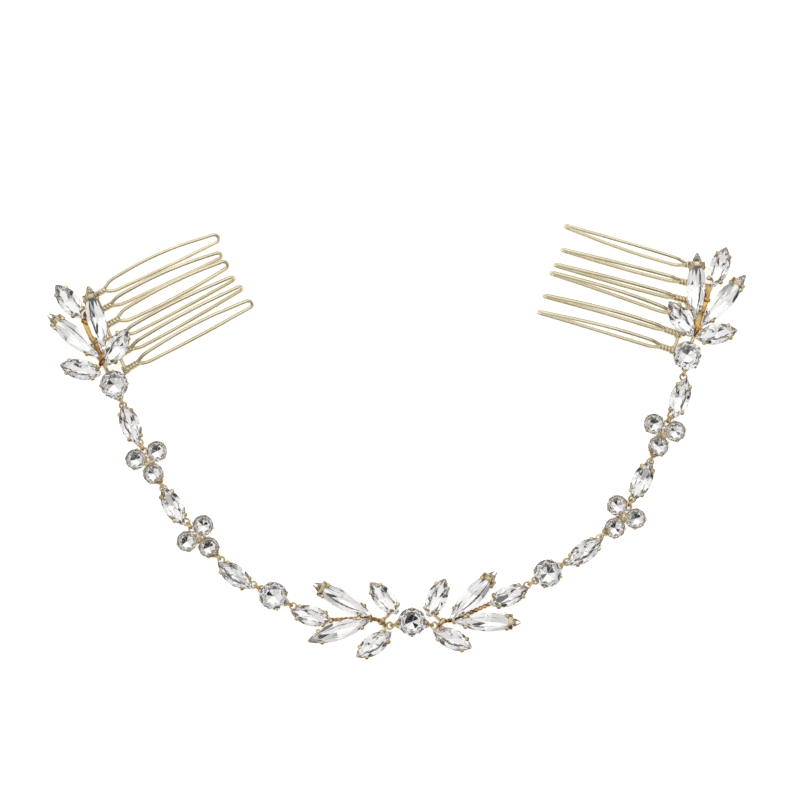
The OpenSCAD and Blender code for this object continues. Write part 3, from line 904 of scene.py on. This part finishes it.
def joint(row, i):
    """The middle of the ring between two pieces of a string, and the string's direction through it."""
    p, q = loop_point(row[i]), loop_point(row[i + 1])
    slack = (q - p).length - REACH_OUT[i] - REACH_IN[i + 1] - 2 * REACH
    u = (q - p).normalized()
    return p + u * (REACH_OUT[i] + REACH + slack / 2), u


def centre_joint(heading):
    u = Vector((cos(radians(heading)), sin(radians(heading)), 0))
    return u * CENTRE_JOINT_R + Vector((0, 0, LOOP_Z)), u


def along(p, u):
    """Turns the X axis to a direction, and moves the bench's middle to a point."""
    return (Matrix.Translation(p) @ Matrix.Rotation(atan2(u.y, u.x), 4, "Z")
            @ Matrix.Rotation(-asin(u.z), 4, "Y"))


def loop(j, side, e, wall=None):
    """A loop beside a joint, with a bar from it to the wall of a piece's cup."""
    m = along(j[0] + side * REACH * j[1], side * j[1])
    bar = (m.translation - loop_point(e)).length - LOOP_R - (wall or WALL_AT[e["kind"]])
    parts = [copy_of(loop_template, m)]
    if bar > SHORTEST_BAR:
        stretch = Matrix.Translation((LOOP_R, 0, 0)) @ Matrix.Diagonal((bar, 1, 1, 1))
        parts.append(copy_of(bar_template, m @ stretch))
    return parts


SIDES["left"]["joint"] = centre_joint(190)
SIDES["right"]["joint"] = centre_joint(-10)
print("first left joint at", [round(v, 2) for v in joint(left_string, 0)[0]])

# %% [markdown]
# ## The strings
# Each single setting is joined with its two loops, as if soldered. The rings are loose on the real vine, so
# each leans its own way, and its seam is turned aside.

# %% String the settings
SEAM_TURN = 70
parts = setting(centre_round)
for side, s in SIDES.items():
    parts += loop(s["joint"], -1, centre_round)
ship("gold_centre", parts, "setting_centre")
SINGLES = {"round": 1, **{f"string_{i}": k for i, k in OVALS.items()}}
for side, s in SIDES.items():
    row = s["string"]
    for name, i in SINGLES.items():
        parts = setting(row[i]) + loop(joint(row, i - 1), 1, row[i]) + loop(joint(row, i), -1, row[i])
        ship(f"gold_{side}_{name}", parts, f"setting_{side}_{name}")
    mirror = 1 if side == "left" else -1
    parts = []
    for j, a in [(s["joint"], CENTRE_LEAN)] + [(joint(row, i), LEAN[i]) for i in range(7)]:
        leaning = along(*j) @ turned(90 + mirror * a, "X")
        parts.append(copy_of(ring_template, leaning @ turned(SEAM_TURN)))
    ship("rings_" + side, parts, "links_" + side)

# %% [markdown]
# ## The trefoils
# A trefoil is three small cups soldered to one round plate. The plate is turned from a cylinder, and a low
# step is raised on it, as on a stamped one.

# %% Trefoils
HUB_R, HUB_H, HUB_STEP = 1.35, 0.6, 0.16
# From the trefoil's middle to the cups that its two loops are soldered to
TREFOIL_WALL_IN, TREFOIL_WALL_OUT = 4.45, 1.7


def make_hub():
    clear_bench()
    bpy.ops.mesh.primitive_cylinder_add(vertices=40, radius=HUB_R, depth=HUB_H, location=(0, 0, HUB_H / 2))
    o = begin("hub")
    select_faces(o, faces_up)
    bpy.ops.mesh.inset(thickness=0.3, depth=0)
    bpy.ops.mesh.extrude_region_move(TRANSFORM_OT_translate={"value": (0, 0, HUB_STEP)})
    bpy.ops.transform.resize(value=(0.8, 0.8, 1), center_override=(0, 0, HUB_H))
    close_mesh()
    soften_edges(o, 0.08, 2, 30)
    return in_gold(o)


hub_template = make_hub()
for side, s in SIDES.items():
    row = s["string"]
    for i, k in TREFOILS.items():
        parts = [copy_of(hub_template, place(row[k]))]
        parts += loop(joint(row, k - 1), 1, row[k], TREFOIL_WALL_IN)
        parts += loop(joint(row, k), -1, row[k], TREFOIL_WALL_OUT)
        for g in trefoil(row[k]):
            parts += setting(g)
        ship(f"gold_{side}_trefoil_{i}", parts, f"setting_{side}_trefoil_{i}")

# %% [markdown]
# ## Wires
# The stems of the sprigs are two thin wires twisted together, and a comb's tooth is one wire bent double.
# A wire is a curve with a round bevel, turned into a mesh. The curve of a twisted strand runs round its path
# as a helix.

# %% Wire helpers


def curve_through(points, steps):
    """A smooth curve through points, in millimetres, with closed ends."""
    clear_bench()
    bpy.ops.curve.primitive_bezier_curve_add(location=(0, 0, 0))
    o = bpy.context.object
    spline = o.data.splines[0]
    spline.bezier_points.add(len(points) - 2)
    for b, p in zip(spline.bezier_points, points):
        b.co = p
        b.handle_left_type = b.handle_right_type = "AUTO"
    o.data.dimensions = "3D"
    o.data.resolution_u = steps
    o.data.use_fill_caps = True
    return o


def wire(points, radius, sides=3, steps=1):
    """A length of round wire. More sides make it rounder, more steps its bends smoother."""
    o = curve_through(points, steps)
    o.data.bevel_depth = radius
    o.data.bevel_resolution = sides
    bpy.ops.object.convert(target="MESH")
    return bpy.context.object


def frame_at(points, i):
    """Two directions square to a path at one of its points."""
    a, b = Vector(points[max(i - 1, 0)]), Vector(points[min(i + 1, len(points) - 1)])
    u = (b - a).normalized()
    v = u.cross(Vector((0, 0, 1))).normalized()
    return v, u.cross(v)


def spread(points, step):
    """More points along a path, about a step apart."""
    out = []
    for p, q in zip(points, points[1:]):
        p, q = Vector(p), Vector(q)
        n = max(1, round((q - p).length / step))
        out += [p.lerp(q, k / n) for k in range(n)]
    return out + [Vector(points[-1])]


def twisted(points, radius, offset, pitch, strands=2):
    """Wires twisted together along a path. The pitch is the length of one full turn."""
    path = spread(points, pitch / 8)
    parts = []
    for s in range(strands):
        run, line = 0.0, []
        for i, p in enumerate(path):
            if i:
                run += (p - path[i - 1]).length
            a = 2 * pi * (run / pitch + s / strands)
            v, w = frame_at(path, i)
            line.append(p + offset * (cos(a) * v + sin(a) * w))
        parts.append(wire(line, radius))
    return parts


def gilded(parts, material):
    """Gives parts their metal and smooths them."""
    for o in parts:
        o.data.materials.clear()
        o.data.materials.append(material)
        tidy(o, 60)
    return parts


print("steps of 0.8 mm on 8 mm:", len(spread([(0, 0, 0), (8, 0, 0)], 0.8)) - 1)

# %% [markdown]
# ## The sprigs beside the centre stone
# The cups of a sprig hang on a stem of twisted wire like leaves on a twig. A thin wire, a spoke, runs from
# the inner end of each cup to its point on the stem, with a drop of solder there.

# %% Centre sprigs
STEM_Z = 0.5
STRAND_R, STRAND_OFFSET, STRAND_PITCH = 0.27, 0.22, 2.1
SPOKE_R, SPOKE_STEP = 0.32, 0.8
SPOKE_START = {"navette": -3.5, "long": -6.3}
DROP_LIFT, DROP_TURN = 0.25, 0.9
# For each stone of a sprig, the point of the stem that its spoke runs to
SPRIG_SPOKES = (1, 2, 3, 2, 1)
STEMS = {
    "left": [(-5.72, -1.01, LOOP_Z), (-6.6, 0.1, STEM_Z), (-9.2, 0.8, STEM_Z), (-18.4, 0.35, STEM_Z)],
    "right": [(5.72, -1.01, LOOP_Z), (6.6, 0, STEM_Z), (9.2, 0.4, STEM_Z), (12, 1.6, STEM_Z),
              (17.8, 4.2, STEM_Z)],
}


def drops(stem, points):
    """A drop of solder on each of these points of a stem, each turned another way."""
    parts = []
    for k in points:
        at = Matrix.Translation(Vector(stem[k]) + Vector((0, 0, DROP_LIFT)))
        parts.append(copy_of(drop_template, at @ Matrix.Rotation(k * DROP_TURN, 4, "Z")))
    return parts


def spokes(rows, stem, ends):
    """A thin wire from the inner end of each cup to its point on the stem."""
    parts = []
    for e, k in zip(rows, ends):
        p = place(e) @ Vector((SPOKE_START[e["kind"]], 0, STEM_Z))
        parts.append(wire(spread([p, Vector(stem[k])], SPOKE_STEP), SPOKE_R))
    return parts


for side, s in SIDES.items():
    rows, stem = s["sprig"], STEMS[side]
    # The twisted stem is coloured with painted shade and a painted reflection of the gold round it.
    parts = gilded(twisted(stem, STRAND_R, STRAND_OFFSET, STRAND_PITCH), stem_gold_painted_shade)
    parts += gilded(spokes(rows, stem, SPRIG_SPOKES), setting_gold) + drops(stem, (1, 2, 3))
    parts += loop(joint(s["string"], 0), -1, rows[2]) + loop(s["joint"], 1, centre_round, NO_BAR)
    for e in rows:
        parts += setting(e)
    ship(f"gold_{side}_sprig", parts, f"setting_{side}_sprig")

# %% [markdown]
# ## The sprigs on the combs
# Their stem is a strap of sheet brass that the cups are soldered to. It shows between the stones as a warm
# strip: its colour is a painted reflection of the gold round it, with painted shade. It is an extruded curve,
# laid flat, with its edges rounded by the bevel, and a round wire is its foot.

# %% Comb sprigs
STRAP_HALF_W, STRAP_HALF_T = 0.68, 0.22
FOOT_R, FOOT_START = 0.4, 0.12
COMB_SPOKES = (1, 1, 3, 1, 1)
COMB_STEMS = {
    "left": [(-66.6, 54.2, 1.6), (-68.1, 57.2, LEFT_BASE + 0.6), (-69.9, 61.5, LEFT_BASE + 0.85),
             (-71.8, 66, LEFT_BASE + 0.85), (-72.4, 68.2, LEFT_BASE + 0.8)],
    "right": [(61.3, 61, RIGHT_BASE + 0.75), (62.4, 63.9, RIGHT_BASE + 0.6), (63.2, 67, RIGHT_BASE + 0.85),
              (64.6, 71, RIGHT_BASE + 0.85), (65.2, 74.4, RIGHT_BASE + 0.85)],
}


def strap(points):
    """A flat strap of sheet metal through points."""
    o = curve_through(points, 8)
    for b in o.data.splines[0].bezier_points:
        b.tilt = pi / 2
    o.data.twist_mode = "Z_UP"
    o.data.extrude = STRAP_HALF_W - STRAP_HALF_T
    o.data.bevel_depth = STRAP_HALF_T
    o.data.bevel_resolution = 3
    bpy.ops.object.convert(target="MESH")
    return bpy.context.object


for side, s in SIDES.items():
    rows, stem, row = s["comb_sprig"], COMB_STEMS[side], s["string"]
    foot = Vector(stem[0]).lerp(Vector(stem[1]), FOOT_START)
    parts = gilded([wire(spread([foot, Vector(stem[1])], SPOKE_STEP), FOOT_R)], setting_gold)
    parts += gilded(spokes(rows, stem, COMB_SPOKES), setting_gold)
    # The strap and its drops are coloured with a painted reflection of the gold round them and painted shade.
    parts += gilded([strap(stem[1:])] + drops(stem, (1, 3)), strap_gold_painted_reflection)
    parts += loop(joint(row, 6), 1, row[7])
    for e in rows + [row[7]]:
        parts += setting(e)
    ship(f"gold_{side}_comb", parts, f"setting_{side}_comb")

# %% [markdown]
# ## The combs
# A tooth is one wire bent double. Its two ends are twisted together like a rope, and bound to the back wire
# with finer wire. Each tooth is turned a little on its own axis, so that some are seen open and others nearly
# edge-on. For each, the table gives its heading, length, turn at both ends and sideways bow.

# %% Comb shapes
TOOTH_WIRE, TOOTH_W, TOOTH_END_W, BOW = 0.43, 3.4, 1.9, 0.9
NECK_L, NECK_R, NECK_TURNS, NECK_STEPS = 3.4, 0.34, 2.25, 24
TIP_LIFT = 0.02
# How wide a tooth is, as a share of its width, at distances beyond its neck
TOOTH_SHAPE = [(-0.1, 0.22), (0.5, 0.42), (1.6, 0.7), (3.1, 0.81), (5, 0.87), (8, 0.955), (11.5, 1),
               (15, 0.975), (19, 0.9), (22.5, 0.74)]
combs = {
    "left": dict(back=(-70.4, 71.6), step=(1.474, -3.232), z=1.12, teeth=[
        (25.3, 31.1, 15, 20, 0.6), (24.9, 30.1, 42, 48, 0.5), (27.2, 30.5, 5, 30, 0.15),
        (27.3, 30.6, 48, 64, 0.2), (28.9, 31.4, 50, 62, 0.15), (28.1, 31.9, 45, 30, 0.4)]),
    "right": dict(back=(63.14, 77.88), step=(-1.1, -3.63), z=1.45, teeth=[
        (162.5, 31.2, -50, -75, 0.25), (165.2, 30.4, -66, -82, 0.1), (164.8, 30.9, -68, -80, 0),
        (161.5, 31.2, -62, -80, -0.4), (164.2, 31.2, -68, -80, -0.45), (164.2, 31.4, -54, -80, -0.35)]),
}


def tooth_points(row, back_z):
    """The whole run of a tooth's wire: twisted neck, leg, rounded end, leg and neck again."""
    heading, length, turn0, turn1, side_bow = row
    end_r = TOOTH_END_W / 2
    end_z = end_r * abs(sin(radians(turn1))) + TOOTH_WIRE + TIP_LIFT

    def spot(x, y, turn=None):
        """A point at x along the tooth and y across it, on its bowed and turned middle line."""
        arch = sin(pi * min(x, length) / length)
        t = radians(turn0 + (turn1 - turn0) * x / length if turn is None else turn)
        z = (end_z - back_z) * x / length + BOW * arch + y * sin(t)
        return Vector((x, side_bow * arch + y * cos(t), z))

    halves = []
    for s in (1, -1):
        neck = []
        for i in range(NECK_STEPS):
            share = i / NECK_STEPS
            neck.append(spot(NECK_L * share, s * NECK_R, turn0 + 360 * NECK_TURNS * (share - 1)))
        leg = [spot(NECK_L + d, s * w * TOOTH_W / 2) for d, w in TOOTH_SHAPE]
        halves.append(neck + leg)
    round_end = []
    for i in range(9):
        a = pi * (i / 8 - 0.5)
        round_end.append(spot(length - end_r - TOOTH_WIRE + end_r * cos(a), -end_r * sin(a)))
    return halves[0] + round_end + halves[1][::-1]


print("teeth:", {side: len(c["teeth"]) for side, c in combs.items()})

# %% [markdown]
# The back wire runs a little past the first and the last tooth. The coil that binds a neck to it is one
# strand, twisted round a short path along the wire.

# %% Bend the combs
BACK_R, BACK_PAST = 0.43, 0.25
COIL_WIRE, COIL_R, COIL_PITCH, COIL_HALF = 0.2, 0.62, 0.42, 0.85
for side, c in combs.items():
    step = Vector((*c["step"], 0))
    start = Vector((*c["back"], c["z"]))
    last = start + 5 * step
    coil_half = COIL_HALF * step.normalized()
    parts = [wire(spread([start - BACK_PAST * step, last + BACK_PAST * step], 1.5), BACK_R, 4)]
    for i, row in enumerate(c["teeth"]):
        root = start + i * step
        m = Matrix.Translation(root) @ turned(row[0])
        parts.append(wire([m @ p for p in tooth_points(row, c["z"])], TOOTH_WIRE, 4, 3))
        parts += twisted([root - coil_half, root + coil_half], COIL_WIRE, COIL_R, COIL_PITCH, strands=1)
    ship("comb_wires_" + side, gilded(parts, comb_gold), "comb_" + side)

for o in [*cup_templates.values(), *claw_templates.values(), band_template, loop_template, ring_template,
          bar_template, hub_template, drop_template]:
    bpy.data.objects.remove(o)

# %% [markdown]
# ## The studio
# The vine lies on a white sheet that glows a little, as if lit from below, so that there is hardly any
# shadow. The camera looks straight down through a long lens, 0.22 mm to a pixel of the picture.

# %% Sheet and camera
SHEET_GLOW = 0.62
clear_bench()
bpy.ops.mesh.primitive_grid_add(x_subdivisions=8, y_subdivisions=8, size=3, location=(0, 0, 0))
floor = bpy.context.object
floor.name = "white_sheet"
sheet, shader = new_material("white_sheet")
set_inputs(shader, Roughness=0.9, Emission_Color=(1, 1, 1, 1), Emission_Strength=SHEET_GLOW)
tint(shader, noise(shader, 40), [(0.3, (0.93, 0.93, 0.93)), (0.7, (0.95, 0.95, 0.95))])
floor.data.materials.append(sheet)

PICTURE = 800
ORIGIN_PIXEL = (412, 622)
PIXEL = 0.22 * MM
CAMERA_HEIGHT, STONE_HEIGHT, SENSOR = 1.2, 0.0025, 36
middle = ((PICTURE / 2 - ORIGIN_PIXEL[0]) * PIXEL, (ORIGIN_PIXEL[1] - PICTURE / 2) * PIXEL)
bpy.ops.object.camera_add(location=(*middle, CAMERA_HEIGHT), rotation=(0, 0, 0))
camera = bpy.context.object
camera.data.sensor_width = SENSOR
camera.data.lens = SENSOR * (CAMERA_HEIGHT - STONE_HEIGHT) / (PICTURE * PIXEL)
camera.data.clip_end = 20
bpy.context.scene.camera = camera
print("camera lens", round(camera.data.lens, 1), "mm")

# %% [markdown]
# ## Light and room
# A soft white dome lights the vine, with faint shades like those of a cloth tent. A cut stone only sparkles
# if some of its facets mirror something dark: in a real room the camera straight above, lamp stands, window
# frames and furniture. Here each is a round patch of the dome.

# %% Dome
# Things in the room: heading, angle from straight up, size, soft edge (all in degrees) and brightness
ROOM = [
    (90, 36, 34, 30, 1.2), (-90, 82, 32, 8, 0.08), (270, 43, 10, 2, 0.01), (322, 43, 9, 2, 0.01),
    (220, 43, 9, 2, 0.01), (295, 44, 6, 2, 0.02), (248, 36, 4, 1.5, 0.02), (294, 22, 4, 2, 0.03),
    (328, 28, 4.5, 1.5, 0.02), (51, 32, 5, 1.5, 0.02), (163, 32, 3.5, 1.5, 0.02),
    (10, 38, 4, 1.5, 0.02), (67, 22, 3, 1.5, 0.05), (25, 55, 8, 2, 0.02), (42, 47, 5, 2, 0.03),
    (85, 50, 6, 2, 0.02), (352, 42, 5, 2, 0.03), (139, 39, 4, 2, 0.03), (5, 60, 8, 3, 0.1),
    (302, 62, 13, 6, 0.12), (-90, 2.5, 3, 1, 0.03),
]
# The strengths of the cloth's noise, and the brightness at each
CLOTH_RANGE = (0.35, 0.65, 0.64, 1.0)
# The dome is white above the first height and dark below the second, as shares of its radius
HORIZON, HORIZON_DARK = (0.3, 0.06), 0.06

world = bpy.data.worlds.new("soft_dome")
bpy.context.scene.world = world
world.use_nodes = True
nodes, links = world.node_tree.nodes, world.node_tree.links
co = nodes.new("ShaderNodeTexCoord")


def toward(heading, tilt):
    """How near the dome's directions are to a heading and a tilt from straight up, as a cosine."""
    h, t = radians(heading), radians(tilt)
    node = nodes.new("ShaderNodeVectorMath")
    node.operation = "DOT_PRODUCT"
    node.inputs[1].default_value = (sin(t) * cos(h), sin(t) * sin(h), cos(t))
    links.new(co.outputs["Generated"], node.inputs[0])
    return node.outputs["Value"]


def mapped(source, low, high, to_low, to_high):
    """Maps one range to another."""
    node = nodes.new("ShaderNodeMapRange")
    set_inputs(node, From_Min=low, From_Max=high, To_Min=to_low, To_Max=to_high)
    links.new(source, node.inputs["Value"])
    return node.outputs["Result"]


def patched(below, mask, value):
    """Lays a brightness over the one below it, where the mask is 1."""
    node = nodes.new("ShaderNodeMix")
    node.data_type = "FLOAT"
    links.new(mask, node.inputs["Factor"])
    links.new(below, node.inputs["A"])
    node.inputs["B"].default_value = value
    return node.outputs["Result"]


cloth = nodes.new("ShaderNodeTexNoise")
set_inputs(cloth, Scale=2.6, Detail=3.0)
links.new(co.outputs["Generated"], cloth.inputs["Vector"])
light = mapped(cloth.outputs["Fac"], *CLOTH_RANGE)
for heading, tilt, size, soft, bright in ROOM:
    rim, heart = [cos(radians(size + k * soft / 2)) for k in (1, -1)]
    light = patched(light, mapped(toward(heading, tilt), rim, heart, 0, 1), bright)
light = patched(light, mapped(toward(0, 0), *HORIZON, 0, 1), HORIZON_DARK)
links.new(light, nodes["Background"].inputs["Strength"])
set_inputs(nodes["Background"], Color=(1, 1, 1, 1))
print("things in the room:", len(ROOM))

# %% [markdown]
# ## Last settings
# Light bounces many times inside a stone before it comes out, so its paths may be long.

# %% Finish
scene = bpy.context.scene
scene.view_settings.view_transform = "Standard"
scene.cycles.max_bounces = 16
scene.cycles.glossy_bounces = 12
scene.cycles.transmission_bounces = 12
